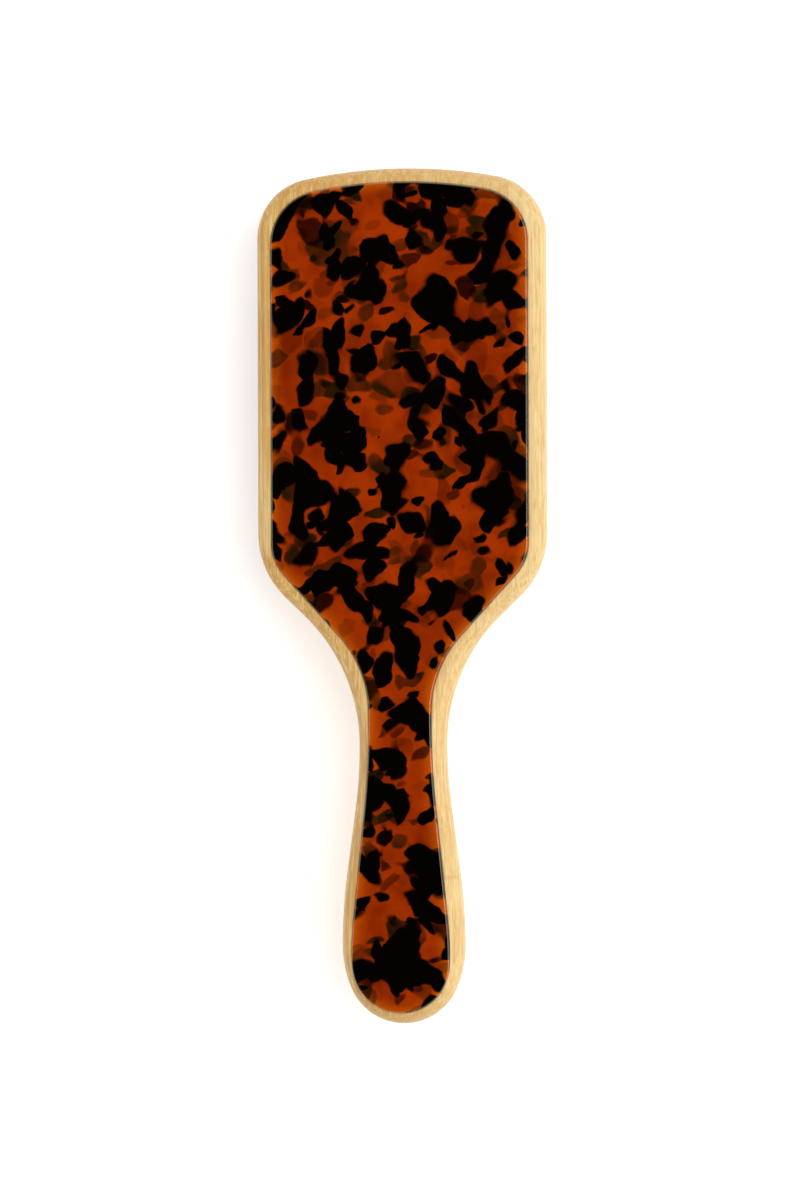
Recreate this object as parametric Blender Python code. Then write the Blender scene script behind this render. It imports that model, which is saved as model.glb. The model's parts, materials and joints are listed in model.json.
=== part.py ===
"""Paddle hairbrush, lying on its pins with its inlaid back plate up.

A milled bamboo paddle carries an acetate plate, bonded into a shallow recess in its back, and an
air cushion in a pocket in its front. The cushion is a rubber membrane whose flange sits in a groove
round the pocket and is held down by a ring. Bamboo pins pass through the membrane, and go in
together as the cushion gives.

+Y runs from the handle to the head, +Z points out of the back plate, and the origin is on the
surface that the pins stand on, in the middle of the brush's length and width. Metres.
"""

import math

import bmesh
import bpy

MM = 0.001

# Outlines seen from the back, from the head's end down to the butt: radii and runs in mm, turns in
# degrees. The head's straight side takes up the length that the rest leaves.
PADDLE = {
    "top": 122.3, "bottom": -122.7,
    "crown": (145, 11), "corner": 17.2,
    "shoulder": (25.3, 45.9), "neck_run": 8.2, "neck": 50.8,
    "flare": (138, 7.6), "flare_run": 18.9, "swell": 159, "butt": (31, 23.5),
}
PLATE = {
    "top": 117.8, "bottom": -118.95,
    "crown": (131, 10.8), "corner": 15.1,
    "shoulder": (12.9, 42.3), "neck_run": 23.9, "neck": 32.8,
    "flare": (275, 5.8), "flare_run": 31.45, "swell": 115, "butt": (18, 11.3),
}

# Heights above the surface that the pins stand on.
CUSHION_CROWN_Z = 17.5 * MM
FRONT_Z = 22.5 * MM
HEAD_THICK = 13 * MM
HANDLE_THICK = 18 * MM
BACK_Z = FRONT_Z + HEAD_THICK

# Rounding of the paddle's edges: how far in and how far down each quarter round goes.
BACK_ROUND_IN = 4.2 * MM
BACK_ROUND_HEAD = 4.6 * MM
BACK_ROUND_HANDLE = 7 * MM
FRONT_ROUND_IN_HEAD = 5 * MM
FRONT_ROUND_IN_HANDLE = 9.5 * MM
FRONT_ROUND_HEAD = 5 * MM
FRONT_ROUND_HANDLE = 10 * MM
GRIP_STARTS_Y = 4 * MM
GRIP_FULL_Y = -62 * MM

# Plate, and the film that bonds it.
RECESS_DEPTH = 1.9 * MM
FILM_THICK = 0.3 * MM
FILM_GAP = 0.2 * MM
PLATE_THICK = 2 * MM
PLATE_ROUND = 0.7 * MM
PLATE_FIT = 0.25 * MM

# Cushion pocket in the front of the paddle.
PAD_HALF_WIDTH = 33 * MM
PAD_HALF_LENGTH = 51.5 * MM
PAD_CORNER_RADIUS = 13.4 * MM
PAD_END_TURN = 11
PAD_CENTRE_Y = 61.5 * MM
POCKET_DEPTH = 7 * MM
GROOVE_OUT = 1.8 * MM
GROOVE_LOW_Z = FRONT_Z + 1.5 * MM
GROOVE_HIGH_Z = FRONT_Z + 3.9 * MM
GAP = 0.3 * MM

# Rubber membrane: flange in the groove, wall, shoulder and a top crowned across its width.
FLANGE_OUT = GROOVE_OUT - GAP
WALL_IN = 0.5 * MM
RUBBER = 1.6 * MM
SHOULDER_OUT_Z = FRONT_Z + 0.1 * MM
SHOULDER_IN = 4.5 * MM
CROWN_RISE = 1.8 * MM
VENT_RADIUS = 0.75 * MM

# Pins: a square grid of rows along the brush. They stand square to the crown, so they fan out.
OUTER_ROW = 4
ROW_PITCH = 6.5 * MM
PIN_PITCH = 7.3 * MM
PINS_IN_ROW = 13
PINS_IN_OUTER_ROW = 11
PINS_AT_END = 4
PIN_REACH = 17.5 * MM
PIN_RADIUS = 1.1 * MM
PIN_TIP_RADIUS = 0.55 * MM
PIN_SIDES = 6
HOLE_GAP = 0.35 * MM
WEB_WIDTH = 2.6 * MM
WEB_THICK = 1.2 * MM
WEB_END = 1.3 * MM
WEB_GAP = 1.2 * MM

# Ring over the flange, and the foam liner in the roof of the pocket.
RING_WIDTH = 3 * MM
LINER_THICK = 1.8 * MM
LINER_IN = 3.9 * MM

COLOURS = {
    "bamboo": ((0.80, 0.62, 0.36), 0.45),
    "acetate": ((0.36, 0.06, 0.01), 0.08),
    "film": ((0.75, 0.72, 0.60), 0.6),
    "rubber": ((0.03, 0.025, 0.022), 0.6),
    "ring": ((0.85, 0.84, 0.80), 0.5),
    "foam": ((0.60, 0.58, 0.54), 0.9),
    "pin": ((0.78, 0.58, 0.33), 0.5),
}


def clear_scene():
    for thing in list(bpy.data.objects):
        bpy.data.objects.remove(thing)


def make_materials():
    made = {}
    for name, (colour, roughness) in COLOURS.items():
        material = bpy.data.materials.new(name)
        material.use_nodes = True
        shader = material.node_tree.nodes["Principled BSDF"]
        shader.inputs["Base Color"].default_value = (*colour, 1)
        shader.inputs["Roughness"].default_value = roughness
        shader.inputs["Metallic"].default_value = 0
        made[name] = material
    return made


# ---- outlines -------------------------------------------------------------------------------


def walk(steps, top_y):
    """The right-hand half of an outline, clockwise from its top centre to its bottom centre.

    A step is ("line", length), ("arc", radius, turn, pieces), where a left turn is negative, or
    ("close", pieces), the arc that ends square to the centre line. Each point comes with its outward
    direction.
    """
    x, y, heading = 0.0, top_y, 0.0
    points = [(x, y, 0.0, 1.0)]
    for kind, *sizes in steps:
        if kind == "line":
            x += sizes[0] * math.cos(heading)
            y -= sizes[0] * math.sin(heading)
            points.append((x, y, math.sin(heading), math.cos(heading)))
            continue
        if kind == "close":
            radius, turn, pieces = x / math.sin(heading), math.pi - heading, sizes[0]
        else:
            radius, turn, pieces = sizes[0], math.radians(sizes[1]), sizes[2]
        radius = math.copysign(radius, turn)
        centre_x = x - radius * math.sin(heading)
        centre_y = y - radius * math.cos(heading)
        for piece in range(1, pieces + 1):
            angle = heading + turn * piece / pieces
            out_x, out_y = math.sin(angle), math.cos(angle)
            points.append((centre_x + radius * out_x, centre_y + radius * out_y, out_x, out_y))
        heading += turn
        x, y = points[-1][:2]
    points[-1] = (0.0, points[-1][1], 0.0, -1.0)
    return points


def fitted(head, rest, top_y, bottom_y):
    """The outline of head, a straight side and rest, whose side is as long as the ends need."""
    side = walk([*head, *rest], top_y)[-1][1] - bottom_y
    return walk([*head, ("line", side), *rest], top_y)


def brush_outline(sizes):
    crown_radius, crown_turn = sizes["crown"]
    shoulder_radius, shoulder_turn = sizes["shoulder"]
    flare_radius, flare_turn = sizes["flare"]
    butt_radius, butt_turn = sizes["butt"]
    head = [
        ("arc", crown_radius * MM, crown_turn, 4),
        ("arc", sizes["corner"] * MM, 90 - crown_turn, 7),
    ]
    rest = [
        ("arc", shoulder_radius * MM, shoulder_turn, 5),
        ("line", sizes["neck_run"] * MM),
        ("arc", sizes["neck"] * MM, -shoulder_turn, 7),
        ("arc", flare_radius * MM, -flare_turn, 3),
        ("line", sizes["flare_run"] * MM),
        ("arc", sizes["swell"] * MM, flare_turn, 3),
        ("arc", butt_radius * MM, butt_turn, 3),
        ("close", 6),
    ]
    return fitted(head, rest, sizes["top"] * MM, sizes["bottom"] * MM)


def pad_outline():
    across = math.sin(math.radians(PAD_END_TURN))
    end_radius = (PAD_HALF_WIDTH - PAD_CORNER_RADIUS * (1 - across)) / across
    ends = [("arc", end_radius, PAD_END_TURN, 3), ("arc", PAD_CORNER_RADIUS, 90 - PAD_END_TURN, 5)]
    rest = [("arc", PAD_CORNER_RADIUS, 90 - PAD_END_TURN, 5), ("arc", end_radius, PAD_END_TURN, 3)]
    return fitted(ends, rest, PAD_CENTRE_Y + PAD_HALF_LENGTH, PAD_CENTRE_Y - PAD_HALF_LENGTH)


def ring(half, inset, height):
    """A closed ring of points from half an outline, moved in by inset, at a height or a height(x, y)."""
    right = [(x - inset * nx, y - inset * ny) for x, y, nx, ny in half]
    right[0] = (0.0, right[0][1])
    right[-1] = (0.0, right[-1][1])
    left = [(-x, y) for x, y in reversed(right[1:-1])]
    level = height if callable(height) else lambda x, y: height
    return [(x, y, level(x, y)) for x, y in right + left]


# ---- solids ---------------------------------------------------------------------------------


def new_object(name, mesh, material=None):
    mesh.shade_smooth()
    mesh.set_sharp_from_angle(angle=math.radians(35))
    thing = bpy.data.objects.new(name, mesh)
    if material:
        mesh.materials.append(material)
    else:
        thing.hide_render = True
        thing.display_type = "WIRE"
    bpy.context.scene.collection.objects.link(thing)
    return thing


def mesh_object(name, shape, material=None):
    mesh = bpy.data.meshes.new(name)
    shape.to_mesh(mesh)
    shape.free()
    return new_object(name, mesh, material)


def add_loft(shape, rings, ladder=False):
    """A closed skin over rings of equal length. A ladder cap has a rung between mirrored points."""
    loops = [[shape.verts.new(point) for point in one] for one in rings]
    count = len(loops[0])
    faces = []
    for low, high in zip(loops, loops[1:]):
        for k in range(count):
            n = (k + 1) % count
            faces.append(shape.faces.new((low[k], low[n], high[n], high[k])))
    for loop in (loops[0], loops[-1]):
        if not ladder:
            faces.append(shape.faces.new(loop))
            continue
        for k in range(count // 2):
            corners = [loop[k], loop[k + 1], loop[-k - 1], loop[-k]]
            faces.append(shape.faces.new(list(dict.fromkeys(corners))))
    bmesh.ops.recalc_face_normals(shape, faces=faces)
    return faces


def loft(name, rings, material=None, ladder=False):
    shape = bmesh.new()
    add_loft(shape, rings, ladder)
    return mesh_object(name, shape, material)


def boolean(thing, operation, other):
    modifier = thing.modifiers.new(operation.title(), "BOOLEAN")
    modifier.operation = operation
    modifier.solver = "EXACT"
    modifier.object = other


def quarter(pieces):
    """Angles of a quarter round, from 0 to 90 degrees."""
    return [math.pi / 2 * k / pieces for k in range(pieces + 1)]


# ---- paddle and plate -----------------------------------------------------------------------


def grip(y):
    """0 in the head, 1 in the handle, with a smooth change between."""
    share = (GRIP_STARTS_Y - y) / (GRIP_STARTS_Y - GRIP_FULL_Y)
    share = min(1.0, max(0.0, share))
    return share * share * (3 - 2 * share)


def mix(head, handle, y):
    return head + (handle - head) * grip(y)


def front_z(y):
    return BACK_Z - mix(HEAD_THICK, HANDLE_THICK, y)


def paddle_ring(outline, y_in, angle, back):
    """One ring of the paddle's rounded edge. Its inset changes along the handle."""
    points = []
    for x, y, nx, ny in outline:
        inset = y_in(y) * (1 - math.cos(angle))
        if back:
            z = BACK_Z - mix(BACK_ROUND_HEAD, BACK_ROUND_HANDLE, y) * (1 - math.sin(angle))
        else:
            z = front_z(y) + mix(FRONT_ROUND_HEAD, FRONT_ROUND_HANDLE, y) * (1 - math.sin(angle))
        points.append((x - inset * nx, y - inset * ny, z))
    points[0] = (0.0, *points[0][1:])
    points[-1] = (0.0, *points[-1][1:])
    return points + [(-x, y, z) for x, y, z in reversed(points[1:-1])]


def make_paddle(material):
    outline = brush_outline(PADDLE)
    rings = []
    for angle in reversed(quarter(3)):
        rings.append(paddle_ring(outline, lambda y: BACK_ROUND_IN, angle, back=True))
    for angle in quarter(4):
        inset = lambda y: mix(FRONT_ROUND_IN_HEAD, FRONT_ROUND_IN_HANDLE, y)
        rings.append(paddle_ring(outline, inset, angle, back=False))
    paddle = loft("bamboo_paddle", rings, material, ladder=True)
    over = 1 * MM
    recess = [ring(brush_outline(PLATE), -PLATE_FIT, z) for z in (BACK_Z - RECESS_DEPTH, BACK_Z + over)]
    boolean(paddle, "DIFFERENCE", loft("recess_cutter", recess))
    pad = pad_outline()
    pocket = [ring(pad, 0, z) for z in (FRONT_Z - over, FRONT_Z + POCKET_DEPTH)]
    boolean(paddle, "DIFFERENCE", loft("pocket_cutter", pocket))
    groove = [ring(pad, -GROOVE_OUT, z) for z in (GROOVE_LOW_Z, GROOVE_HIGH_Z)]
    boolean(paddle, "DIFFERENCE", loft("groove_cutter", groove))


def make_plate(film_material, plate_material):
    outline = brush_outline(PLATE)
    film_low = BACK_Z - RECESS_DEPTH + FILM_GAP
    film = [ring(outline, PLATE_ROUND, z) for z in (film_low, film_low + FILM_THICK)]
    loft("bond_film", film, film_material)
    low = film_low + FILM_THICK + FILM_GAP
    high = low + PLATE_THICK
    rings = [ring(outline, 0, low)]
    for angle in quarter(2):
        inset = PLATE_ROUND * (1 - math.cos(angle))
        rings.append(ring(outline, inset, high - PLATE_ROUND * (1 - math.sin(angle))))
    loft("back_plate", rings, plate_material)


# ---- cushion --------------------------------------------------------------------------------


def crown(x):
    """How much further out the membrane stands at x than at its long edges.

    The crown is faceted: each row of pins stands in a flat strip that is one pitch wide.
    """
    row = max(-OUTER_ROW, min(OUTER_ROW, round(x / ROW_PITCH)))
    middle = row * ROW_PITCH
    square = ROW_PITCH ** 2 / 4 + 2 * middle * x - middle ** 2
    return CROWN_RISE * (1 - square / PAD_HALF_WIDTH ** 2)


FLAT_DROP = SHOULDER_OUT_Z - CUSHION_CROWN_Z - crown(0)


def outer_z(x):
    """The membrane's outer face over the pins."""
    return SHOULDER_OUT_Z - FLAT_DROP - crown(x)


def shoulder_rings(pad, inset, start_z, drop):
    """Rings down a quarter-elliptic shoulder, from the wall to the top of the cushion."""
    rings = []
    for angle in quarter(3)[1:]:
        depth = inset + SHOULDER_IN * (1 - math.cos(angle))
        fall = math.sin(angle)
        rings.append(ring(pad, depth, lambda x, y, fall=fall: start_z - fall * (drop + crown(x))))
    return rings


def pin_rows():
    """Each row's number, its X and the Y of its pins."""
    for number in range(-OUTER_ROW, OUTER_ROW + 1):
        count = PINS_IN_OUTER_ROW if abs(number) == OUTER_ROW else PINS_IN_ROW
        first = PAD_CENTRE_Y + PIN_PITCH * (count - 1) / 2
        yield number, number * ROW_PITCH, [first - PIN_PITCH * k for k in range(count)]


def prism(shape, x, y, sizes):
    """A pin or a hole square to the crown at x, through (radius, distance out of the membrane)."""
    tilt = math.atan(2 * CROWN_RISE * x / PAD_HALF_WIDTH ** 2)
    rings = []
    for radius, out in sizes:
        points = []
        for k in range(PIN_SIDES):
            angle = 2 * math.pi * k / PIN_SIDES
            across = radius * math.sin(angle)
            points.append((
                x + out * math.sin(tilt) + across * math.cos(tilt),
                y + radius * math.cos(angle),
                outer_z(x) - out * math.cos(tilt) + across * math.sin(tilt),
            ))
        rings.append(points)
    add_loft(shape, rings)
    return tilt


def split_along(shape, cap, lift):
    """Cuts a cap of the membrane between the rows of pins and lays the cuts on the crown."""
    piece = [cap, *cap.edges, *cap.verts]
    for number in range(-OUTER_ROW, OUTER_ROW):
        plane = ((number + 0.5) * ROW_PITCH, 0, 0)
        cut = bmesh.ops.bisect_plane(shape, geom=piece, plane_co=plane, plane_no=(1, 0, 0))
        for vert in cut["geom_cut"]:
            if isinstance(vert, bmesh.types.BMVert):
                vert.co.z = outer_z(vert.co.x) + lift
        piece = cut["geom"]


def make_membrane(material):
    pad = pad_outline()
    flange_low, flange_high = GROOVE_LOW_Z + GAP, GROOVE_HIGH_Z - GAP
    inner_in = WALL_IN + RUBBER
    inner_start = SHOULDER_OUT_Z + RUBBER / 2
    rings = [
        *reversed(shoulder_rings(pad, WALL_IN, SHOULDER_OUT_Z, FLAT_DROP)),
        ring(pad, WALL_IN, SHOULDER_OUT_Z),
        ring(pad, WALL_IN, flange_low),
        ring(pad, -FLANGE_OUT, flange_low),
        ring(pad, -FLANGE_OUT, flange_high),
        ring(pad, inner_in, flange_high),
        ring(pad, inner_in, inner_start),
        *shoulder_rings(pad, inner_in, inner_start, FLAT_DROP - RUBBER / 2),
    ]
    shape = bmesh.new()
    outer_cap, inner_cap = add_loft(shape, rings)[-2:]
    split_along(shape, outer_cap, 0)
    split_along(shape, inner_cap, RUBBER)
    bmesh.ops.triangulate(shape, faces=shape.faces)
    membrane = mesh_object("cushion_membrane", shape, material)
    holes = bmesh.new()
    through = (MM, -2 * RUBBER)
    for _, x, ys in pin_rows():
        for y in ys:
            prism(holes, x, y, [(PIN_RADIUS + HOLE_GAP, out) for out in through])
    prism(holes, ROW_PITCH / 2, PAD_CENTRE_Y + PIN_PITCH / 2, [(VENT_RADIUS, out) for out in through])
    boolean(membrane, "DIFFERENCE", mesh_object("hole_cutter", holes))


def make_pins(material):
    """Each row of pins in three lengths, whose pins are joined by a web behind the membrane."""
    for number, x, ys in pin_rows():
        lengths = {
            "head": ys[:PINS_AT_END],
            "middle": ys[PINS_AT_END:-PINS_AT_END],
            "heel": ys[-PINS_AT_END:],
        }
        behind = RUBBER + WEB_GAP
        for part, places in lengths.items():
            shanks = bmesh.new()
            for y in places:
                tilt = prism(shanks, x, y, [
                    (PIN_TIP_RADIUS, PIN_REACH),
                    (PIN_RADIUS, PIN_REACH - PIN_TIP_RADIUS),
                    (PIN_RADIUS, -behind - WEB_THICK / 2),
                ])
            name = f"pin_row_{number + OUTER_ROW + 1}_{part}"
            middle = x - behind * math.tan(tilt)
            low, high = places[-1] - WEB_END, places[0] + WEB_END
            corners = [(-1, low), (1, low), (1, high), (-1, high)]
            web_z = outer_z(x) + behind
            web = loft(name, [
                [(middle + side * WEB_WIDTH / 2, y, z) for side, y in corners]
                for z in (web_z, web_z + WEB_THICK)
            ], material)
            boolean(web, "UNION", mesh_object(name + "_shanks", shanks))


def make_ring_and_liner(ring_material, foam_material):
    pad = pad_outline()
    roof = FRONT_Z + POCKET_DEPTH
    low, high = GROOVE_HIGH_Z, roof - GAP
    hoop = loft("flange_ring", [ring(pad, GAP, z) for z in (low, high)], ring_material)
    bore = [ring(pad, GAP + RING_WIDTH, z) for z in (low - MM, high + MM)]
    boolean(hoop, "DIFFERENCE", loft("ring_cutter", bore))
    liner = [ring(pad, LINER_IN, z) for z in (high - LINER_THICK, high)]
    loft("foam_liner", liner, foam_material)


def main():
    clear_scene()
    materials = make_materials()
    make_paddle(materials["bamboo"])
    make_plate(materials["film"], materials["acetate"])
    make_membrane(materials["rubber"])
    make_pins(materials["pin"])
    make_ring_and_liner(materials["ring"], materials["foam"])


main()
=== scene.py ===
import json
import math
import bmesh
import bpy
import numpy as np
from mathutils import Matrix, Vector
from mathutils.geometry import delaunay_2d_cdt

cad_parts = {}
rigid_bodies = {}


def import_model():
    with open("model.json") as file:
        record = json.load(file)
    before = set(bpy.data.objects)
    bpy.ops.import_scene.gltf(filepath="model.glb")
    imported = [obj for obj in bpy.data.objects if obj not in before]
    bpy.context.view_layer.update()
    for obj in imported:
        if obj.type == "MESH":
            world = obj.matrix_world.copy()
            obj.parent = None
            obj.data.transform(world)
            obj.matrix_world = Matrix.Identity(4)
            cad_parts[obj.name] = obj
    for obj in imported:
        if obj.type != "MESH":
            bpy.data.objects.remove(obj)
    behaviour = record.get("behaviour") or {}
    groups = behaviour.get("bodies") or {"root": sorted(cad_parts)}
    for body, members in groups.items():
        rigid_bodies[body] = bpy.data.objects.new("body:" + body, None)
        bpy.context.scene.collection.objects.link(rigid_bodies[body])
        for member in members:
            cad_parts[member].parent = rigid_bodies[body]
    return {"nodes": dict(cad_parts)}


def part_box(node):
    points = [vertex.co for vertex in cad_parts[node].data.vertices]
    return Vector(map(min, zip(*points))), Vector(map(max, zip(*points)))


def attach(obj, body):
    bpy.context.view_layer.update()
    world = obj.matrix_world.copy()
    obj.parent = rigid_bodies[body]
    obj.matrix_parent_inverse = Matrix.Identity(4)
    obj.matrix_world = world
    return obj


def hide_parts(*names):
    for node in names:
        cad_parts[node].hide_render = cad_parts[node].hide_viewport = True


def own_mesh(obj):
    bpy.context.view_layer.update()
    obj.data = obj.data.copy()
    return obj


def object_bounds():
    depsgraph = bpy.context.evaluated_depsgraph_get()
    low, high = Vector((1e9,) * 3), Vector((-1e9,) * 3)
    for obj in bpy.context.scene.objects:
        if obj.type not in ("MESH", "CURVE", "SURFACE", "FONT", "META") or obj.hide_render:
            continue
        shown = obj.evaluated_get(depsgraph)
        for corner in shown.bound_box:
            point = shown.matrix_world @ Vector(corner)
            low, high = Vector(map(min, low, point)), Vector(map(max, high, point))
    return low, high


# A paddle hairbrush, plate up, standing on its pins. The pieces' sizes are in millimetres.
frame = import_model()
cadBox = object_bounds()
mm = 0.001
paddleLow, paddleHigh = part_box("bamboo_paddle")
plateLow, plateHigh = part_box("back_plate")


class Link:  # one output of a node; arithmetic on it adds Math nodes
    def __init__(self, maker, socket):
        self.maker, self.socket = maker, socket

    def join(self, operation, other=0.0, flip=False):
        first, second = (other, self) if flip else (self, other)
        return self.maker.node("ShaderNodeMath", {"operation": operation}, {0: first, 1: second})

    def out(self, name):  # another output of the same node
        return Link(self.maker, self.socket.node.outputs[name])

    def __add__(self, other): return self.join("ADD", other)
    def __radd__(self, other): return self.join("ADD", other, flip=True)
    def __sub__(self, other): return self.join("SUBTRACT", other)
    def __rsub__(self, other): return self.join("SUBTRACT", other, flip=True)
    def __mul__(self, other): return self.join("MULTIPLY", other)
    def __rmul__(self, other): return self.join("MULTIPLY", other, flip=True)
    def __truediv__(self, other): return self.join("DIVIDE", other)
    def __rtruediv__(self, other): return self.join("DIVIDE", other, flip=True)
    def __abs__(self): return self.join("ABSOLUTE")

    def floor(self): return self.join("FLOOR")
    def fract(self): return self.join("FRACT")
    def most(self, other): return self.join("MAXIMUM", other)

    def step(self, low, high):  # 0 at low, 1 at high, smooth between; low may be above high
        settings = {"interpolation_type": "SMOOTHSTEP"}
        if low < high:
            return self.maker.node("ShaderNodeMapRange", settings, {0: self, 1: low, 2: high})
        return 1 - self.maker.node("ShaderNodeMapRange", settings, {0: self, 1: high, 2: low})


class Maker:  # adds nodes to a new material or world
    def __init__(self, owner):
        owner.use_nodes = True
        self.owner, self.tree = owner, owner.node_tree
        self.tree.nodes.clear()

    def node(self, kind, settings=None, inputs=None, out=0):
        made = self.tree.nodes.new(kind)
        for key, value in (settings or {}).items():
            setattr(made, key, value)
        for key, value in (inputs or {}).items():
            self.feed(made.inputs[key], value)
        return Link(self, made.outputs[out]) if made.outputs else None

    def feed(self, socket, value):
        if isinstance(value, Link):
            self.tree.links.new(value.socket, socket)
        elif isinstance(value, tuple) and len(socket.default_value) > len(value):
            socket.default_value = (*value, 1)  # a colour takes its alpha too
        else:
            socket.default_value = value

    def place(self):  # the point on the piece, in millimetres
        spot = self.node("ShaderNodeTexCoord", out="Object")
        return self.scaled(spot, (1 / mm, 1 / mm, 1 / mm))

    def scaled(self, vector, by):
        return self.node("ShaderNodeVectorMath", {"operation": "MULTIPLY"}, {0: vector, 1: by})

    def moved(self, vector, by):
        return self.node("ShaderNodeVectorMath", {"operation": "ADD"}, {0: vector, 1: by})

    def split(self, vector):
        parts = self.node("ShaderNodeSeparateXYZ", inputs={0: vector})
        return parts, parts.out("Y"), parts.out("Z")

    def joined(self, x, y, z):
        return self.node("ShaderNodeCombineXYZ", inputs={0: x, 1: y, 2: z})

    def noise(self, vector, scale, detail=2.0, rough=0.5, out="Fac"):
        inputs = {"Vector": vector, "Scale": scale, "Detail": detail, "Roughness": rough}
        return self.node("ShaderNodeTexNoise", inputs=inputs, out=out)

    def cells(self, vector, scale):  # distance from the middle of the nearest cell
        return self.node("ShaderNodeTexVoronoi", inputs={"Vector": vector, "Scale": scale})

    def chance(self, x, y, seed):  # one random value for each pair of whole numbers
        settings = {"noise_dimensions": "3D"}
        inputs = {"Vector": self.joined(x, y, seed)}
        return self.node("ShaderNodeTexWhiteNoise", settings, inputs, "Value")

    def mix(self, share, first, second):
        return self.node("ShaderNodeMix", {"data_type": "RGBA"}, {0: share, 6: first, 7: second}, 2)

    def bump(self, height, distance, strength=1.0):  # distance in millimetres
        inputs = {"Height": height, "Distance": distance * mm, "Strength": strength}
        return self.node("ShaderNodeBump", inputs=inputs)

    def surface(self, **sockets):
        inputs = {key.replace("_", " "): value for key, value in sockets.items()}
        shader = self.node("ShaderNodeBsdfPrincipled", inputs=inputs)
        self.node("ShaderNodeOutputMaterial", inputs={"Surface": shader})
        return self.owner


def newMaterial(name):
    return Maker(bpy.data.materials.new(name))


def walk(steps, topY, spacing=0.9):  # x, y and the outward x, y of each point, clockwise from the top
    x, y, heading = 0.0, topY, 0.0
    points = [(x, y, 0.0, 1.0)]
    for kind, *sizes in steps:
        if kind == "line":
            count = max(1, round(abs(sizes[0]) / (4 * spacing)))
            across, down = math.sin(heading), math.cos(heading)
            for k in range(1, count + 1):
                run = sizes[0] * k / count
                points.append((x + run * down, y - run * across, across, down))
            x, y = points[-1][:2]
            continue
        if kind == "close":  # an arc that ends on the middle line, square to it
            radius, turn = x / math.sin(heading), math.pi - heading
        else:
            radius, turn = sizes[0], math.radians(sizes[1])
        count = max(4, math.ceil(abs(radius * turn) / spacing))
        radius = math.copysign(radius, turn)
        middle = (x - radius * math.sin(heading), y - radius * math.cos(heading))
        for k in range(1, count + 1):
            angle = heading + turn * k / count
            outX, outY = math.sin(angle), math.cos(angle)
            points.append((middle[0] + radius * outX, middle[1] + radius * outY, outX, outY))
        heading += turn
        x, y = points[-1][:2]
    points[-1] = (0.0, points[-1][1], 0.0, -1.0)
    return points


def fitted(head, rest, topY, bottomY):  # the straight side takes up the length that is left
    side = walk([*head, *rest], topY)[-1][1] - bottomY
    return walk([*head, ("line", side), *rest], topY)


def brushOutline(sizes):  # the right half of the paddle's or the plate's outline
    head = [("arc", *sizes["crown"]), ("arc", sizes["corner"], 90 - sizes["crown"][1])]
    rest = [
        ("arc", *sizes["shoulder"]),
        ("line", sizes["neckRun"]),
        ("arc", sizes["neck"], -sizes["shoulder"][1]),
        ("arc", sizes["flare"][0], -sizes["flare"][1]),
        ("line", sizes["flareRun"]),
        ("arc", sizes["swell"], sizes["flare"][1]),
        ("arc", *sizes["butt"]),
        ("close",),
    ]
    return fitted(head, rest, sizes["top"], sizes["bottom"])


def ring(half, inset, height):  # a whole ring, in metres; inset and height may be functions of y
    points = []
    for x, y, outX, outY in half:
        into = inset(y) if callable(inset) else inset
        z = height(y) if callable(height) else height
        points.append(((x - into * outX) * mm, (y - into * outY) * mm, z * mm))
    points[0], points[-1] = (0.0, *points[0][1:]), (0.0, *points[-1][1:])
    return points + [(-x, y, z) for x, y, z in reversed(points[1:-1])]


def flatRing(half, inset):  # the same ring as x, y in millimetres
    return [(x / mm, y / mm) for x, y, _ in ring(half, inset, 0)]


def quarter(pieces):  # angles round a quarter turn
    return [math.pi / 2 * k / pieces for k in range(pieces + 1)]


def smoothed(mesh, sharp):
    mesh.shade_smooth()
    mesh.set_sharp_from_angle(angle=math.radians(sharp))


def newPiece(name, shape, sharp=35):
    bmesh.ops.recalc_face_normals(shape, faces=shape.faces)
    mesh = bpy.data.meshes.new(name)
    shape.to_mesh(mesh)
    shape.free()
    smoothed(mesh, sharp)
    piece = bpy.data.objects.new(name, mesh)
    bpy.context.scene.collection.objects.link(piece)
    return piece


def skin(shape, rings, closed=False):  # joins rings of equal length, each to the next
    loops = [[shape.verts.new(point) for point in one] for one in rings]
    pairs = list(zip(loops, loops[1:]))
    if closed:
        pairs.append((loops[-1], loops[0]))
    for low, high in pairs:
        for k in range(len(low)):
            n = (k + 1) % len(low)
            shape.faces.new((low[k], low[n], high[n], high[k]))
    return loops


def lofted(name, rings, ladder=False):  # a ladder caps the ends with faces from side to side
    shape = bmesh.new()
    loops = skin(shape, rings)
    for loop in (loops[0], loops[-1]):
        if not ladder:
            shape.faces.new(loop)
            continue
        for k in range(len(loop) // 2):
            corners = [loop[k], loop[k + 1], loop[-k - 1], loop[-k]]
            shape.faces.new(list(dict.fromkeys(corners)))
    return newPiece(name, shape)


def cut(piece, cutter):  # takes the cutter away from the piece, for good
    modifier = piece.modifiers.new("cut", "BOOLEAN")
    modifier.operation, modifier.solver, modifier.object = "DIFFERENCE", "EXACT", cutter
    graph = bpy.context.evaluated_depsgraph_get()
    mesh = bpy.data.meshes.new_from_object(piece.evaluated_get(graph))
    piece.modifiers.clear()
    piece.data = mesh
    bpy.data.objects.remove(cutter)


def coated(piece, material):
    piece.data.materials.clear()
    piece.data.materials.append(material)


def dressed(piece, material, body, slot, *nodes):
    coated(piece, material)
    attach(piece, body)
    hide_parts(*nodes)


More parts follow.
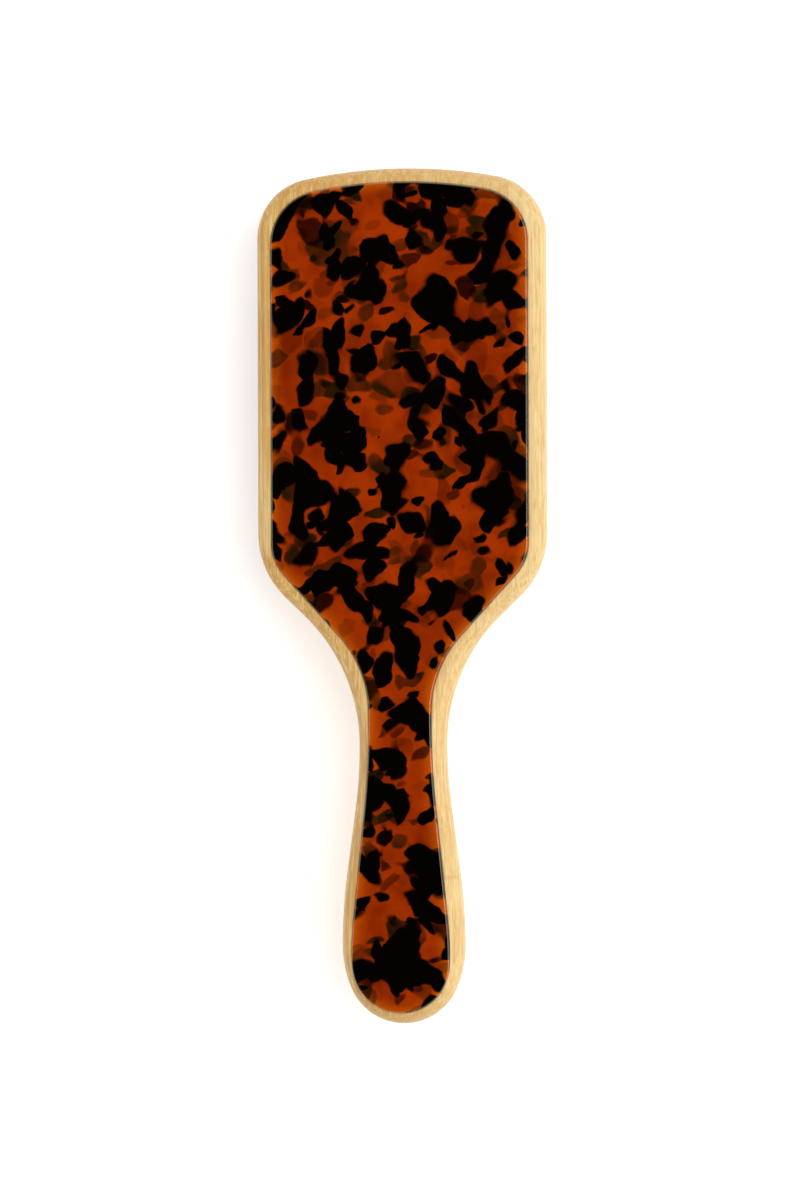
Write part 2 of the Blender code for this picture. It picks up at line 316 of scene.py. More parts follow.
paddle = {
    "top": 122.3, "bottom": -122.7,
    # From the top down: an arc is a radius, or a radius and the degrees it turns through.
    "crown": (145, 11), "corner": 17.2,
    "shoulder": (25.3, 45.9), "neckRun": 8.2, "neck": 50.8,
    "flare": (138, 7.6), "flareRun": 18.9, "swell": 159, "butt": (31, 23.5),
    "backIn": 4.2, "backHead": 4.6, "backHandle": 7,  # round of the back edge
    "frontInHead": 5, "frontInHandle": 9.5,  # round of the front edge
    "frontHead": 5, "frontHandle": 10,
    "roundPieces": 10, "sharp": 30,
    "headThick": 13, "handleThick": 18,
    "gripStarts": 4, "gripFull": -62,  # the handle thickens between these
    "recess": 1.9, "recessFit": 0.06, "recessChamfer": 0.34,
    "pocket": 7, "pocketChamfer": 0.35, "grooveOut": 1.8, "groove": (1.5, 3.9),
    "cutPast": 1.0,  # how far a cutter runs past the face
    "pale": (0.81, 0.60, 0.28), "warm": (0.66, 0.36, 0.082), "light": (0.86, 0.66, 0.31),
    "streak": (0.54, 0.26, 0.05), "fleck": (0.64, 0.37, 0.11), "fibre": (0.33, 0.15, 0.034),
    "paintedLitSide": 33, "paintedShadeSide": -44,  # painted shade: the boards are painted warmer and darker towards -x, away from the key light; partly also the bamboo's own tone
    "paintedShadeShare": 0.9, "stripShare": 0.2,
    "threadShare": 0.65, "fineShare": 0.2, "fleckShare": 0.6, "clearShare": 0.35, "dotShare": 0.55,
    "stripWidth": 20.5, "stripShift": 0.4, "stripStart": 0.3, "plyThick": 6.1,
    "jointLine": 0.09, "jointDark": 0.35,
    "knuckleGap": 190, "knuckleWidth": 0.9, "knuckleCore": 0.2, "knuckleWobble": 1.6,
    "knuckleDark": 0.19, "knuckleSpread": 5.3,
    "endsFrom": 110, "endsFull": 121, "endDark": 0.28,
    "roughness": 0.46, "coat": 0.06, "coatRoughness": 0.25, "specular": 0.25, "grainDepth": 0.018,
}
backZ = paddleHigh.z / mm
frontZ = backZ - paddle["headThick"]


def streaks(maker, fibres, across, along, detail=2.0, rough=0.5):  # noise drawn out along the fibres
    return maker.noise(maker.scaled(fibres, (across, along, across)), 1.0, detail, rough)


def bambooGrain(maker, point, drift=2.4):  # the point is across, along the fibres and through
    across, along, through = maker.split(point)
    across = across + (streaks(maker, point, 0.02, 0.012, 1.0) - 0.5) * drift
    fibres = maker.joined(across, along, through)
    # Fibre bundles: dots in the end grain, long thin flecks along it.
    dots = maker.cells(maker.scaled(fibres, (2.1, 0.04, 2.1)), 1.0).step(0.34, 0.1)
    dots = dots * streaks(maker, fibres, 0.32, 0.01).step(0.3, 0.75)
    fine = streaks(maker, fibres, 3.6, 0.07, 3.0, 0.6).step(0.28, 0.72)
    bands = streaks(maker, fibres, 0.62, 0.006).step(0.4, 0.6)
    return fibres, dots, fine, bands


def glueLines(turns, width):  # 1 where one board or strip meets the next
    edge = abs(turns.fract() - 0.5)
    return ((0.5 - edge) * width).step(paddle["jointLine"], 0.0)


def bambooMaterial():
    look = paddle
    maker = newMaterial("lacqueredBamboo")
    point = maker.place()
    fibres, dots, fine, bands = bambooGrain(maker, point)
    across, along, through = maker.split(fibres)
    # Each strip has its own tone, and its knuckles come at their own places.
    plies = through / look["plyThick"]
    ply = plies.floor()
    strips = across / look["stripWidth"] + (ply * 0.5).fract() * look["stripShift"] + look["stripStart"]
    chance = maker.chance(strips.floor(), ply, 3.0)
    seam = glueLines(strips, look["stripWidth"]).most(glueLines(plies, look["plyThick"]))
    wobble = (maker.noise(point, 0.5, 1.0) - 0.5) * look["knuckleWobble"]
    knuckle = ((along + wobble) / look["knuckleGap"] + chance * look["knuckleSpread"]).fract() - 0.5
    knuckle = (abs(knuckle) * look["knuckleGap"]).step(look["knuckleWidth"], look["knuckleCore"])
    # Painted shade: towards -x, the side away from the key light, the colour goes warmer and darker and the
    # streaks stronger; partly also the bamboo's own tone.
    side = across.step(look["paintedLitSide"], look["paintedShadeSide"])
    tone = side * look["paintedShadeShare"] + (chance - 0.5) * look["stripShare"]
    colour = maker.mix(tone, look["pale"], look["warm"])
    colour = maker.mix(bands * (0.2 + side * 0.5), colour, look["streak"])
    threads = streaks(maker, fibres, 1.3, 0.012).step(0.52, 0.62)
    colour = maker.mix(threads * look["threadShare"], colour, look["light"])
    colour = maker.mix(fine * look["fineShare"], colour, look["streak"])
    flecks = streaks(maker, fibres, 1.5, 0.17, 2.0, 0.55)
    colour = maker.mix(flecks.step(0.52, 0.66) * look["fleckShare"], colour, look["fleck"])
    colour = maker.mix(flecks.step(0.46, 0.34) * look["clearShare"], colour, look["light"])
    colour = maker.mix(dots * look["dotShare"], colour, look["fibre"])
    colour = maker.mix(knuckle * look["knuckleDark"], colour, look["fibre"])
    colour = maker.mix(seam * look["jointDark"], colour, look["fibre"])
    # End grain takes up more lacquer, and is darker.
    ends = abs(along).step(look["endsFrom"], look["endsFull"])
    colour = maker.mix(ends * look["endDark"], colour, look["streak"])
    height = fine * 0.5 + (1 - dots) * 0.35 + (1 - seam) * 0.3
    return maker.surface(
        Base_Color=colour,
        Roughness=look["roughness"] + fine * 0.1 + dots * 0.1,
        Coat_Weight=look["coat"],
        Coat_Roughness=look["coatRoughness"],
        Specular_IOR_Level=look["specular"],
        Normal=maker.bump(height, look["grainDepth"]),
    )


def grip(y):  # 0 in the head, 1 in the handle
    share = (paddle["gripStarts"] - y) / (paddle["gripStarts"] - paddle["gripFull"])
    share = min(1.0, max(0.0, share))
    return share * share * (3 - 2 * share)


def between(head, handle):
    return lambda y: paddle[head] + (paddle[handle] - paddle[head]) * grip(y)


def buildPaddle(material):
    outline = brushOutline(paddle)
    thick, backDrop = between("headThick", "handleThick"), between("backHead", "backHandle")
    frontIn, frontRise = between("frontInHead", "frontInHandle"), between("frontHead", "frontHandle")
    rings = []
    for angle in reversed(quarter(paddle["roundPieces"])):
        gone = 1 - math.sin(angle)
        rings.append(ring(outline, paddle["backIn"] * (1 - math.cos(angle)),
                          lambda y, gone=gone: backZ - backDrop(y) * gone))
    for angle in quarter(paddle["roundPieces"]):
        gone, into = 1 - math.sin(angle), 1 - math.cos(angle)
        rings.append(ring(outline, lambda y, into=into: frontIn(y) * into,
                          lambda y, gone=gone: backZ - thick(y) + frontRise(y) * gone))
    body = lofted("paddle_body", rings, ladder=True)
    # The recess for the plate.
    half, past = brushOutline(plate), paddle["cutPast"]
    fit, chamfer = paddle["recessFit"], paddle["recessChamfer"]
    cut(body, lofted("recess_cutter", [
        ring(half, -fit, backZ - paddle["recess"]),
        ring(half, -fit, backZ - chamfer),
        ring(half, -fit - chamfer - past, backZ + past),
    ]))
    # The pocket behind the rubber, and the groove for its flange.
    half, chamfer = cushionOutline(), paddle["pocketChamfer"]
    cut(body, lofted("pocket_cutter", [
        ring(half, -chamfer - past, frontZ - past),
        ring(half, 0, frontZ + chamfer),
        ring(half, 0, frontZ + paddle["pocket"]),
    ]))
    cut(body, lofted("groove_cutter", [
        ring(half, -paddle["grooveOut"], frontZ + level) for level in paddle["groove"]]))
    smoothed(body.data, paddle["sharp"])
    dressed(body, material, "paddle", "bamboo", "bamboo_paddle")
    print("paddle body:", len(body.data.polygons), "faces")


plate = {
    "top": 117.8, "bottom": -118.95,
    "crown": (131, 10.8), "corner": 15.1,
    "shoulder": (12.9, 42.3), "neckRun": 23.9, "neck": 32.8,
    "flare": (275, 5.8), "flareRun": 31.45, "swell": 115, "butt": (18, 11.3),
    "round": 0.35, "roundPieces": 6, "ease": 0.2,
    "paintedLightRings": (0.7, 1.2, 1.8, 2.5, 3.4, 4.5),  # in from the edge; the painted edge light is gone at the last
    "amber": (0.38, 0.035, 0.0007), "dusky": (0.15, 0.0092, 0.0003),
    "paintedEdgeLight": (0.56, 0.10, 0.001), "paintedEdgeShare": 0.85,
    "flake": (0.0014, 0.0006, 0.0004), "smoke": (0.017, 0.0072, 0.001),
    # Flakes lie in layers: each has its size, length to width, angle and share of the area.
    "layers": ((8.4, 1.35, 24, 0.315), (7.0, 1.5, 118, 0.325), (5.6, 1.35, 71, 0.3), (4.0, 1.4, 150, 0.22)),
    "deepLayers": ((6.2, 1.25, 45, 0.2), (4.6, 1.4, 160, 0.17)), "deepSeed": 9,
    "flakeEdge": (0.8, 0.07), "deepEdge": (0.75, 0.13),  # how round and how soft
    "warp": 1.6, "fray": 0.3,  # how far the flakes' edges wander, in large and in small
    "roughness": 0.07, "coat": 1.0, "coatRoughness": 0.03, "specular": 0.3, "waveDepth": 0.012,
}


def flakeLayer(maker, spot, layer, seed, edge):  # 1 inside a flake, 0 in the clear
    size, longer, angle, share = layer
    smooth, soft = edge
    turned = maker.node("ShaderNodeVectorRotate", {"rotation_type": "Z_AXIS"},
                        {"Vector": spot, "Angle": math.radians(angle)})
    stretch = math.sqrt(longer)
    turned = maker.scaled(turned, (1 / (size * stretch), stretch / size, 1.0))
    turned = maker.moved(turned, (seed * 6.1 + 11.3, seed * 2.9 + 4.7, 0.0))  # no two layers line up
    settings = {"feature": "SMOOTH_F1", "voronoi_dimensions": "2D"}
    inputs = {"Vector": turned, "Scale": 1.0, "Smoothness": smooth}
    value = maker.split(maker.node("ShaderNodeTexVoronoi", settings, inputs, "Color"))[0]
    return value.step(1 - share - soft, 1 - share + soft)


def wandered(maker, spot, flat, scale, reach):  # moves the spot by up to the reach, either way
    drift = maker.moved(maker.noise(flat, scale, 1.0, out="Color"), (-0.5, -0.5, -0.5))
    return maker.moved(spot, maker.scaled(drift, (reach * 2, reach * 2, 0.0)))


def tortoiseshellMaterial():
    look = plate
    maker = newMaterial("tortoiseshellAcetate")
    point = maker.place()
    x, y, _ = maker.split(point)
    flat = maker.joined(x, y, 0.0)
    spot = wandered(maker, flat, flat, 0.16, look["warp"])
    spot = wandered(maker, spot, flat, 0.5, look["fray"])
    black, deep = 0.0, 0.0
    for seed, layer in enumerate(look["layers"]):
        black = flakeLayer(maker, spot, layer, seed, look["flakeEdge"]).most(black)
    for seed, layer in enumerate(look["deepLayers"], look["deepSeed"]):
        deep = flakeLayer(maker, spot, layer, seed, look["deepEdge"]).most(deep)
    cloud = maker.noise(flat, 0.055).step(0.32, 0.68)
    shade = maker.noise(spot, 0.16).step(0.35, 0.7)
    colour = maker.mix(cloud * 0.5 + shade * 0.3, look["amber"], look["dusky"])
    # Painted light: the brighter orange of light that enters at the sawn edge is painted into the outer few
    # millimetres.
    paintedGlow = maker.node("ShaderNodeAttribute", {"attribute_name": "edge"}, out="Fac")
    colour = maker.mix(paintedGlow * look["paintedEdgeShare"], colour, look["paintedEdgeLight"])
    # Deep flakes are seen through the amber, so they are only smoky.
    density = maker.noise(flat, 0.11, 1.0).step(0.3, 0.62)
    colour = maker.mix(deep * (0.7 + density * 0.3), colour, look["smoke"])
    colour = maker.mix(black, colour, look["flake"])
    wave = maker.noise(point, 0.12, 1.0)
    polish = maker.noise(point, 0.9, 3.0, 0.6)
    return maker.surface(
        Base_Color=colour,
        Roughness=look["roughness"] + polish.step(0.45, 0.8) * 0.06,
        Coat_Weight=look["coat"],
        Coat_Roughness=look["coatRoughness"],
        Specular_IOR_Level=look["specular"],
        Normal=maker.bump(wave * 8 + polish * 0.05, look["waveDepth"]),
    )


def buildPlate(material):
    half = brushOutline(plate)
    low, high = plateLow.z / mm, plateHigh.z / mm
    levels = [(plate["ease"], low), (0, low + plate["ease"])]  # inset and height of each ring
    for angle in quarter(plate["roundPieces"]):
        inset, drop = (plate["round"] * (1 - share) for share in (math.cos(angle), math.sin(angle)))
        levels.append((inset, high - drop))
    levels += [(inset, high) for inset in plate["paintedLightRings"]]
    piece = lofted("tortoiseshell_plate", [ring(half, inset, height) for inset, height in levels])
    # Each point's share of the painted edge light, fading inward from the edge.
    edge = piece.data.attributes.new("edge", "FLOAT", "POINT")
    count = len(edge.data) // len(levels)  # points in one ring
    for k, point in enumerate(edge.data):
        point.value = (1 - levels[k // count][0] / plate["paintedLightRings"][-1]) ** 2
    dressed(piece, material, "paddle", "acetate", "back_plate")
    print("tortoiseshell plate:", len(piece.data.polygons), "faces")


cushion = {
    "halfWidth": 33, "halfLength": 51.5, "centreY": 61.5, "corner": 13.4, "endTurn": 11,
    "rim": 0.1,  # the rubber's edge lies this far inside the front face
    "reach": 17.5,  # the pins' length outside the rubber, so the height of the crown's middle
    "crownRise": 1.8, "shoulderIn": 4.0, "shoulderFrom": 1.0, "wallIn": 0.4, "thick": 1.4,
    "beadWidth": 1.5, "beadHigh": 0.55,
    # Rings of points round the rim, in from the wall.
    "rimRings": (0.1, 0.25, 0.45, 0.75, 1.05, 1.25, 1.4, 1.5, 1.62, 1.85, 2.3, 2.9, 3.6, 4.4),
    # A boss round each hole: how far out to its foot each ring is, and its share of the height.
    "boss": ((0, 0.72), (0.1, 0.94), (0.24, 1), (0.4, 0.86), (0.6, 0.4), (0.8, 0.1), (1, 0)),
    "bossHigh": 0.6, "bossFoot": 2.15, "holeFit": 0.12, "holeSides": 18, "ventRadius": 0.75,
    "spacing": 1.9, "rimClear": 5.0, "bossClear": 0.8,  # of the points between the bosses
    "keep": 0.4119,  # share of its height that the dome keeps when the pins are right in
    "dark": (0.018, 0.016, 0.015), "light": (0.05, 0.045, 0.042),
    "roughness": 0.55, "specular": 0.45, "grainDepth": 0.03, "grainStrength": 0.7,
}
rimZ = frontZ + cushion["rim"]


def crown(x):
    return cushion["crownRise"] * (1 - (x / cushion["halfWidth"]) ** 2)


flatRise = rimZ - cushion["reach"] - crown(0)  # of the dome without its crown


def outerZ(x):  # the rubber's outer face between the shoulders
    return rimZ - flatRise - crown(x)


def cushionOutline():
    turn, corner = cushion["endTurn"], cushion["corner"]
    across = math.sin(math.radians(turn))
    end = (cushion["halfWidth"] - corner * (1 - across)) / across
    head = [("arc", end, turn), ("arc", corner, 90 - turn)]
    rest = [("arc", corner, 90 - turn), ("arc", end, turn)]
    middle, half = cushion["centreY"], cushion["halfLength"]
    return fitted(head, rest, middle + half, middle - half)


def rubberMaterial():
    look = cushion
    maker = newMaterial("mouldedRubber")
    point = maker.place()
    grain = maker.noise(point, 9.0, 3.0, 0.65)
    cloud = maker.noise(point, 0.12)
    bloom = maker.noise(point, 1.3)
    return maker.surface(
        Base_Color=maker.mix(cloud * 0.6 + grain * 0.25, look["dark"], look["light"]),
        Roughness=look["roughness"] + bloom * 0.14 + grain * 0.08,
        Specular_IOR_Level=look["specular"],
        Normal=maker.bump(grain + bloom * 0.6, look["grainDepth"], look["grainStrength"]),
    )


def insideOf(loop, x, y):
    found = False
    for (ax, ay), (bx, by) in zip(loop, (*loop[1:], loop[0])):
        if (ay > y) != (by > y) and x < (bx - ax) * (y - ay) / (by - ay) + ax:
            found = not found
    return found


def edgeDistance(points, half):  # how far each point is from the outline
    whole = np.array(flatRing(half, 0))
    ahead = np.roll(whole, -1, axis=0) - whole
    length = (ahead ** 2).sum(1)
    best = np.full(len(points), np.inf)
    for start, along, square in zip(whole, ahead, length):
        offset = points - start
        share = np.clip((offset @ along) / square, 0, 1)
        best = np.minimum(best, np.hypot(*(offset - share[:, None] * along).T))
    return best


def domeHeights(points, depth):  # how far the outer face stands out of the rim's plane
    up = np.clip((depth - cushion["wallIn"] - cushion["shoulderFrom"]) / cushion["shoulderIn"], 0, 1)
    dome = (flatRise + crown(points[:, 0])) * np.sqrt(1 - (1 - up) ** 2)
    beadHalf = cushion["beadWidth"] / 2
    bead = 1 - ((depth - cushion["wallIn"] - beadHalf) / beadHalf) ** 2
    return np.maximum(dome, cushion["beadHigh"] * np.sqrt(np.clip(bead, 0, 1)))


def cushionHoles():  # x, y, radius and boss height: each pin's hole, and a vent between four of them
    radius, high = pins["base"] + cushion["holeFit"], cushion["bossHigh"]
    holes = [(x, y, radius, high) for _, x, ys in pinPlaces() for y in ys]
    vent = (pins["rowPitch"] / 2, cushion["centreY"] + pins["pitch"] / 2)
    return [*holes, (*vent, cushion["ventRadius"], high / 2)]


def gridPoints(half, wall, holes):  # flat points between the bosses
    middle, wide, long = cushion["centreY"], cushion["halfWidth"], cushion["halfLength"]
    xs = np.arange(-wide, wide, cushion["spacing"])
    ys = np.arange(middle - long, middle + long, cushion["spacing"])
    grid = np.array([(x, y) for x in xs for y in ys])
    inside = np.array([insideOf(wall, x, y) for x, y in grid])
    clear = edgeDistance(grid, half) > cushion["wallIn"] + cushion["rimClear"]
    centres = np.array([hole[:2] for hole in holes])
    gap = np.sqrt(((grid[:, None] - centres[None]) ** 2).sum(2)).min(1)
    grid = grid[inside & clear & (gap > cushion["bossFoot"] + cushion["bossClear"])]
    return [tuple(point) for point in grid]


def cushionPoints(half, holes):  # flat points, the edges that must stay, and each point's lift
    wall = flatRing(half, cushion["wallIn"])
    points = list(wall)
    edges = [(k, (k + 1) % len(wall)) for k in range(len(wall))]
    for inset in cushion["rimRings"]:
        points += flatRing(half, cushion["wallIn"] + inset)
    lift = [0.0] * len(points)
    count = cushion["holeSides"]
    for x, y, radius, high in holes:
        for share, level in cushion["boss"]:
            reach = radius + (cushion["bossFoot"] - radius) * share
            first = len(points)
            for k in range(count):
                angle = 2 * math.pi * (k + 0.5 * (share > 0.3)) / count  # the outer rings are staggered
                points.append((x + reach * math.cos(angle), y + reach * math.sin(angle)))
            lift += [high * level] * count
            if share == 0:
                edges += [(first + k, first + (k + 1) % count) for k in range(count)]
    points += gridPoints(half, wall, holes)
    return points, edges, lift + [0.0] * (len(points) - len(lift))


def buildCushion(material):
    half, holes = cushionOutline(), cushionHoles()
    points, edges, lift = cushionPoints(half, holes)
    flat = [Vector(point) for point in points]
    flatPoints, _, faces, origins, _, _ = delaunay_2d_cdt(flat, edges, [], 1, 1e-5)
    levels = [max((lift[k] for k in origin), default=0.0) for origin in origins]
    placed = np.array([tuple(point) for point in flatPoints])
    height = domeHeights(placed, edgeDistance(placed, half))
    shape = bmesh.new()
    outer, inner = [], []
    for (x, y), rise, level in zip(placed, height, levels):
        outer.append(shape.verts.new((x * mm, y * mm, (rimZ - rise - level) * mm)))
        inner.append(shape.verts.new((x * mm, y * mm, (rimZ - rise + cushion["thick"]) * mm)))
    # Faces inside a hole are left out.
    centres, radii = np.array([hole[:2] for hole in holes]), np.array([hole[2] for hole in holes])
    kept = []
    for face in faces:
        middle = placed[list(face)].mean(0)
        if not (np.hypot(*(centres - middle).T) < radii * 0.97).any():
            kept.append(face)
    for face in kept:
        shape.faces.new([outer[k] for k in face])
        shape.faces.new([inner[k] for k in reversed(face)])
    # An edge that only one face uses is a rim, with a wall from the outer to the inner face.
    sides = {pair: True for face in kept for pair in zip(face, (*face[1:], face[0]))}
    for a, b in sides:
        if (b, a) not in sides:
            shape.faces.new((outer[b], outer[a], inner[a], inner[b]))
    loose = [vert for vert in shape.verts if not vert.link_faces]
    bmesh.ops.delete(shape, geom=loose, context="VERTS")
    piece = newPiece("rubber_cushion", shape, sharp=60)
    dressed(piece, material, "paddle", "rubber", "cushion_membrane")
    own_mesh(piece)
    print("rubber cushion:", len(piece.data.polygons), "faces")


flange = {"lipIn": 0.6, "lipLow": 0.9, "lipHigh": 1.3, "fit": 0.3}  # heights are from the groove


def buildFlange(material):  # the rubber's edge, turned out into the groove
    half, inset = cushionOutline(), cushion["wallIn"] + cushion["thick"]
    low, high = (frontZ + level for level in paddle["groove"])
    under, over, top = low + flange["lipLow"], low + flange["lipHigh"], high - flange["fit"]
    out = flange["fit"] - paddle["grooveOut"]
    corners = ((flange["lipIn"], under), (out, under), (out, top),
               (inset, top), (inset, over), (flange["lipIn"], over))
    shape = bmesh.new()
    skin(shape, [ring(half, into, height) for into, height in corners], closed=True)
    piece = newPiece("cushion_flange", shape)
    dressed(piece, material, "paddle", "rubber", "cushion_membrane")
    print("cushion flange:", len(piece.data.polygons), "faces")


pins = {
    "outerRow": 4, "rowPitch": 6.5, "pitch": 7.3, "inRow": 13, "inOuterRow": 11,
    "base": 1.08, "waist": 0.9, "tip": 1.0, "neck": 0.97, "sides": 20,
    "inside": 3.0, "collar": 0.8, "taper": 0.72, "bulb": 0.8, "pieces": 6,
    "pale": (0.80, 0.60, 0.32), "warm": (0.62, 0.40, 0.17), "fibre": (0.36, 0.19, 0.06),
    "grain": 1.6, "rankStart": 0.076, "dotShare": 0.6,
    "wornFrom": 2.2, "wornFull": 0.4, "wornShare": 0.3,  # up from the tips
    "roughness": 0.5, "grainDepth": 0.02,
}


def pinPlaces():  # row number, x, and the y of each pin
    for number in range(-pins["outerRow"], pins["outerRow"] + 1):
        count = pins["inOuterRow"] if abs(number) == pins["outerRow"] else pins["inRow"]
        first = cushion["centreY"] + pins["pitch"] * (count - 1) / 2
        yield number, number * pins["rowPitch"], [first - pins["pitch"] * k for k in range(count)]


def pinMaterial():
    look = pins
    maker = newMaterial("turnedBamboo")
    x, y, z = maker.split(maker.place())
    _, dots, fine, bands = bambooGrain(maker, maker.joined(x * look["grain"], z, y * look["grain"]))
    # Each pin has its own tone.
    row, rank = (x / look["rowPitch"] + 0.5).floor(), (y / look["pitch"] + look["rankStart"]).floor()
    chance = maker.chance(row, rank, 1.0)
    tone = (fine - 0.5) * 0.5 + (bands - 0.5) * 0.4 + chance * 0.5 + 0.15
    colour = maker.mix(tone, look["pale"], look["warm"])
    colour = maker.mix(dots * look["dotShare"], colour, look["fibre"])
    # The tips are sanded, and their end grain is darker.
    worn = z.step(look["wornFrom"], look["wornFull"])
    colour = maker.mix(worn * look["wornShare"], colour, look["fibre"])
    return maker.surface(
        Base_Color=colour,
        Roughness=look["roughness"] + fine * 0.15,
        Normal=maker.bump(fine + (1 - dots) * 0.5, look["grainDepth"]),
    )


def pinProfile():  # radius, and how far out of the rubber
    base, waist, tip = pins["base"], pins["waist"], pins["tip"]
    reach, collar, pieces = cushion["reach"], pins["collar"], pins["pieces"]
    profile = [(base, -pins["inside"]), (base, collar)]
    for k in range(1, pieces + 1):
        share = k / pieces
        profile.append((base + (waist - base) * share, collar + reach * pins["taper"] * share))
    profile.append((tip * pins["neck"], reach - tip - pins["bulb"]))
    for angle in quarter(pieces)[:-1]:
        profile.append((tip * math.cos(angle), reach - tip + tip * math.sin(angle)))
    return profile


def addPin(shape, x, y, profile):  # square to the crown of the rubber
    tilt = math.atan(2 * cushion["crownRise"] * x / cushion["halfWidth"] ** 2)

    def spot(across, ahead, out):
        return ((x + out * math.sin(tilt) + across * math.cos(tilt)) * mm, (y + ahead) * mm,
                (outerZ(x) - out * math.cos(tilt) + across * math.sin(tilt)) * mm)

    turns = [2 * math.pi * k / pins["sides"] for k in range(pins["sides"])]
    loops = skin(shape, [[spot(radius * math.sin(turn), radius * math.cos(turn), out) for turn in turns]
                         for radius, out in profile])
    shape.faces.new(loops[0])
    end = shape.verts.new(spot(0, 0, cushion["reach"]))
    for first, second in zip(loops[-1], (*loops[-1][1:], loops[-1][0])):
        shape.faces.new((first, second, end))


def buildPins(material):
    profile = pinProfile()
    for number, x, ys in pinPlaces():
        shape = bmesh.new()
        for y in ys:
            addPin(shape, x, y, profile)
        row = number + pins["outerRow"] + 1
        piece = newPiece(f"bamboo_pins_{row}", shape, sharp=60)
        nodes = [f"pin_row_{row}_{part}" for part in ("head", "middle", "heel")]
        dressed(piece, material, f"pin_row_{row}", "pin", *nodes)
    print("pins:", sum(len(ys) for _, _, ys in pinPlaces()))


film = {"colours": ((0.62, 0.55, 0.36), (0.75, 0.70, 0.52)), "roughness": 0.3, "bubbleDepth": 0.05}


def adhesiveMaterial():
    maker = newMaterial("curedAdhesive")
    point = maker.place()
    bubbles = maker.cells(point, 0.8).step(0.25, 0.15)
    return maker.surface(Base_Color=maker.mix(maker.noise(point, 0.2), *film["colours"]),
                         Roughness=film["roughness"] + bubbles * 0.3,
                         Normal=maker.bump(bubbles, film["bubbleDepth"]))


flangeRing = {"colours": ((0.72, 0.70, 0.62), (0.82, 0.80, 0.74)), "roughness": 0.42, "grainDepth": 0.02}


def nylonMaterial():
    maker = newMaterial("naturalNylon")
    point = maker.place()
    cloud, grain = maker.noise(point, 0.3), maker.noise(point, 6.0, 3.0)
    return maker.surface(Base_Color=maker.mix(cloud, *flangeRing["colours"]),
                         Roughness=flangeRing["roughness"] + grain * 0.15,
                         Normal=maker.bump(grain, flangeRing["grainDepth"]))


liner = {"colours": ((0.30, 0.29, 0.27), (0.52, 0.50, 0.47)), "roughness": 0.9, "poreDepth": 0.2}


def foamMaterial():
    maker = newMaterial("closedCellFoam")
    pores = maker.cells(maker.place(), 1.6)
    return maker.surface(Base_Color=maker.mix(pores.step(0.1, 0.6), *liner["colours"]),
                         Roughness=liner["roughness"], Normal=maker.bump(pores, liner["poreDepth"]))


def dressHidden():
    hidden = {"bond_film": adhesiveMaterial, "flange_ring": nylonMaterial, "foam_liner": foamMaterial}
    for node, material in hidden.items():
        coated(frame["nodes"][node], material())
    print("hidden pieces:", *hidden)


studio = {  # in metres
    "floor": (0.93, 0.93, 0.93), "floorTint": (0.9, 0.9, 0.9), "floorGlow": 0.4, "floorHalf": 6,
    "sky": (0.36, 1.0), "slope": (-0.8, 0.1),  # brighter from left to right
    "dark": (0.965, 0.9),  # dark overhead, so that the plate shows its own colour
    "keyPower": 10, "keySize": 0.9, "keyAt": (0.65, 0.1, 1.25),
    "fillPower": 4, "fillSize": 0.9, "fillAt": (-1.2, 0.2, 0.8),
    "lightsAim": (0, 0, 0.03),
}


def areaLight(name):
    light = bpy.data.lights.new(name, "AREA")
    light.energy, light.size, light.shape = studio[name + "Power"], studio[name + "Size"], "SQUARE"
    lamp = bpy.data.objects.new(name, light)
    lamp.location = studio[name + "At"]
    aim = Vector(studio["lightsAim"]) - lamp.location
    lamp.rotation_euler = aim.to_track_quat("-Z", "Y").to_euler()
    lamp.visible_camera = False
    bpy.context.scene.collection.objects.link(lamp)


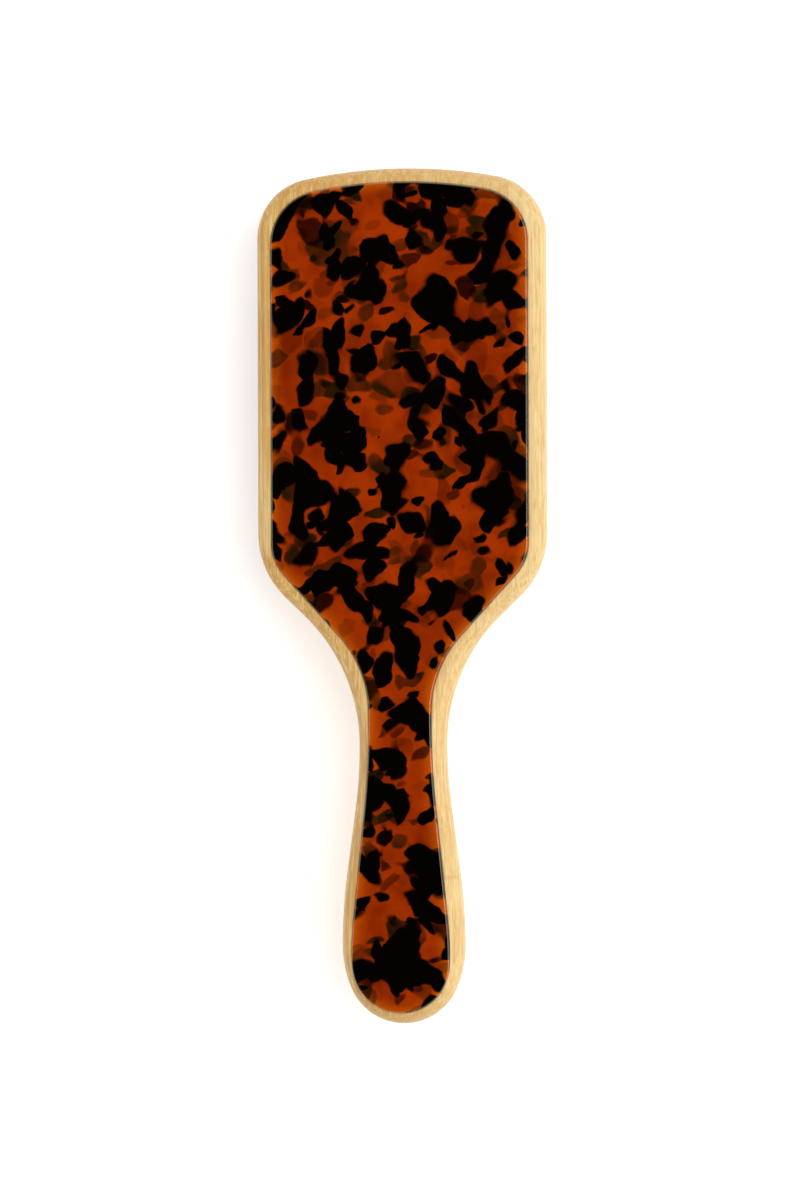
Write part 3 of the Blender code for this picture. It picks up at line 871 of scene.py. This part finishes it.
def buildStage():
    shape = bmesh.new()
    bmesh.ops.create_grid(shape, x_segments=1, y_segments=1, size=studio["floorHalf"])
    floor = newPiece("floor", shape)
    maker = newMaterial("paleFloor")
    tint = maker.noise(maker.node("ShaderNodeTexCoord", out="Object"), 3.0)
    colour = maker.mix(tint * 0.1, studio["floor"], studio["floorTint"])
    coated(floor, maker.surface(
        Base_Color=colour, Roughness=0.9, Emission_Color=colour, Emission_Strength=studio["floorGlow"]))
    world = bpy.data.worlds.new("studio")
    bpy.context.scene.world = world
    maker = Maker(world)
    x, _, z = maker.split(maker.node("ShaderNodeTexCoord", out="Generated"))
    low, high = studio["sky"]
    strength = (low + x.step(*studio["slope"]) * (high - low)) * z.step(*studio["dark"])
    background = maker.node("ShaderNodeBackground", inputs={"Strength": strength})
    maker.node("ShaderNodeOutputWorld", inputs={"Surface": background})
    areaLight("key")
    areaLight("fill")
    bpy.context.scene.view_settings.view_transform = "Standard"
    print("stage and lights ready")


camera = {
    "distance": 1.0, "near": 0.05, "far": 20,  # metres
    "turn": 8.0, "roll": -0.19,  # degrees; it is turned round the brush's long axis
    "lens": 104.6, "sensor": 36,
    "aimX": -0.7, "aimY": -1.05, "aimZ": 3,  # from the brush's middle
}


def buildCamera():
    data = bpy.data.cameras.new("camera")
    data.lens, data.sensor_width = camera["lens"], camera["sensor"]
    data.clip_start, data.clip_end = camera["near"], camera["far"]
    lens = bpy.data.objects.new("camera", data)
    turn = math.radians(camera["turn"])
    middle = (cadBox[0] + cadBox[1]) / 2
    middle.z = (paddleLow.z + paddleHigh.z) / 2 + camera["aimZ"] * mm
    right = Vector((math.cos(turn), 0, -math.sin(turn)))
    aim = middle + right * camera["aimX"] * mm + Vector((0, camera["aimY"] * mm, 0))
    lens.location = aim + Vector((math.sin(turn), 0, math.cos(turn))) * camera["distance"]
    lens.rotation_euler = (0, turn, 0)
    lens.rotation_euler.rotate_axis("Z", math.radians(camera["roll"]))
    bpy.context.scene.collection.objects.link(lens)
    bpy.context.scene.camera = lens
    print("camera ready")


buildCamera()
buildPaddle(bambooMaterial())
buildPlate(tortoiseshellMaterial())
rubber = rubberMaterial()
buildCushion(rubber)
buildFlange(rubber)
buildPins(pinMaterial())
dressHidden()
buildStage()
